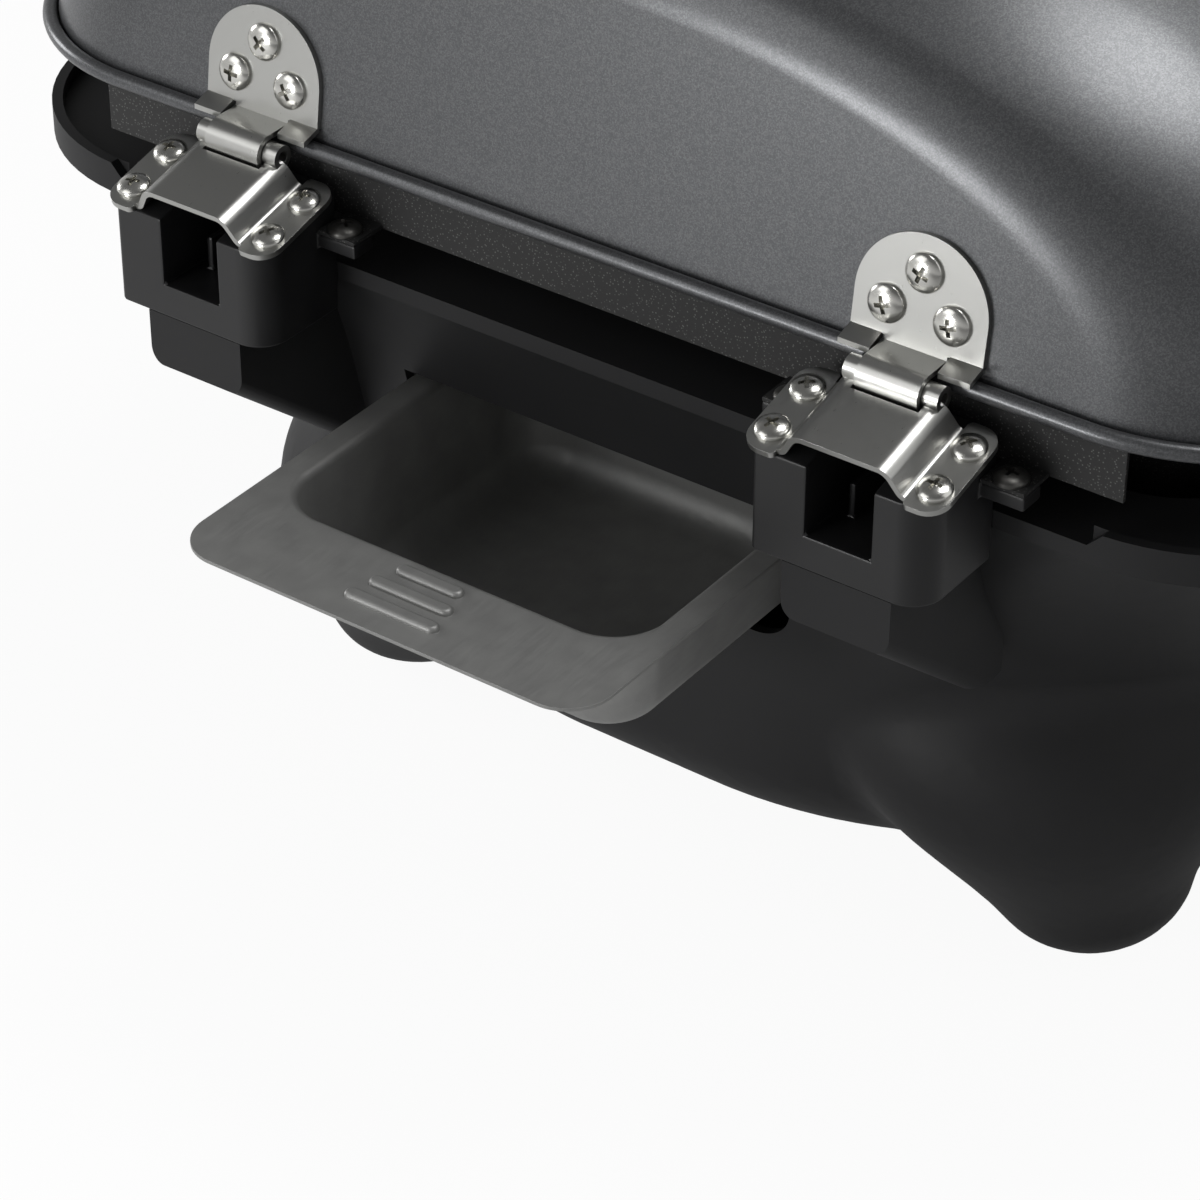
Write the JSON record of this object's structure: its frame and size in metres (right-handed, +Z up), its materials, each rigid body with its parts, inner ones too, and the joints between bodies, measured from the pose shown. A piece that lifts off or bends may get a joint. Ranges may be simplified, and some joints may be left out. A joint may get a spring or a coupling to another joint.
{
  "type": "electric barbecue grill",
  "caption": "Table-top electric grill with a domed steel lid on lift-off hinges, a black bowl-shaped base on rounded feet and a drip tray that slides out at the rear.",
  "frame": {"origin": "on the floor under the middle of the part's box, with the tray pulled out as pictured", "axes": "+X along the hinge line, to the right as seen from the controls; +Y to the rear, where the hinges and the tray are; +Z up"},
  "size_m": [0.414, 0.4498, 0.327],
  "materials": {
    "flake_paint": "satin metallic flake",
    "stainless": "cold-rolled, faintly grained",
    "bright_screw": "bright nickel plate",
    "handle_plastic": "fine moulded texture",
    "block_plastic": "fine moulded texture",
    "base_plastic": "fine moulded texture",
    "foot_rubber": "matt",
    "firebox_paint": "satin flake",
    "grate_iron": "matt enamel",
    "element_tube": "heat-darkened sheath",
    "tray_steel": "dull coated sheet",
    "rail_steel": "plated sheet",
    "terminal_plastic": "moulded, heat-proof",
    "fascia_plastic": "polished",
    "knob_plastic": "satin",
    "lens_plastic": "clear tinted"
  },
  "bodies": {
    "base": {"hinge_plate_right": "stainless", "hinge_plate_left": "stainless", "plate_screws": "bright_screw", "firebox_screws": "bright_screw", "rail_screws": "bright_screw", "fascia_screws": "bright_screw", "hinge_block_right": "block_plastic", "hinge_block_left": "block_plastic", "base_shell": "base_plastic", "foot_pads": "foot_rubber", "firebox": "firebox_paint", "cooking_grate": "grate_iron", "grate_rests": "rail_steel", "heating_element": "element_tube", "element_saddles": "rail_steel", "terminal_block": "terminal_plastic", "tray_rail_right": "rail_steel", "tray_rail_left": "rail_steel", "control_fascia": "fascia_plastic", "thermostat": "terminal_plastic", "indicator_lens": "lens_plastic", "power_inlet": "fascia_plastic"},
    "lid": {"lid_shell": "flake_paint", "hinge_leaf_right": "stainless", "hinge_leaf_left": "stainless", "leaf_screws": "bright_screw", "leaf_nuts": "bright_screw", "handle_grip": "handle_plastic", "handle_posts": "stainless", "handle_screws": "bright_screw"},
    "tray": {"drip_tray": "tray_steel"},
    "knob": {"control_knob": "knob_plastic", "control_shaft": "rail_steel"}
  },
  "joints": [
    {"name": "lid_hinge", "type": "hinge", "parent": "base", "child": "lid", "pos_m": [0, 0.14779, 0.214], "axis": [-1, 0, 0], "range_deg": [0, 95]},
    {"name": "tray_slide", "type": "slide", "parent": "base", "child": "tray", "axis": [0, 1, 0], "range_m": [-0.069, 0.03]},
    {"name": "knob_turn", "type": "hinge", "parent": "base", "child": "knob", "pos_m": [0, -0.19301, 0.124], "axis": [0, 1, 0], "range_deg": [0, 270]}
  ]
}
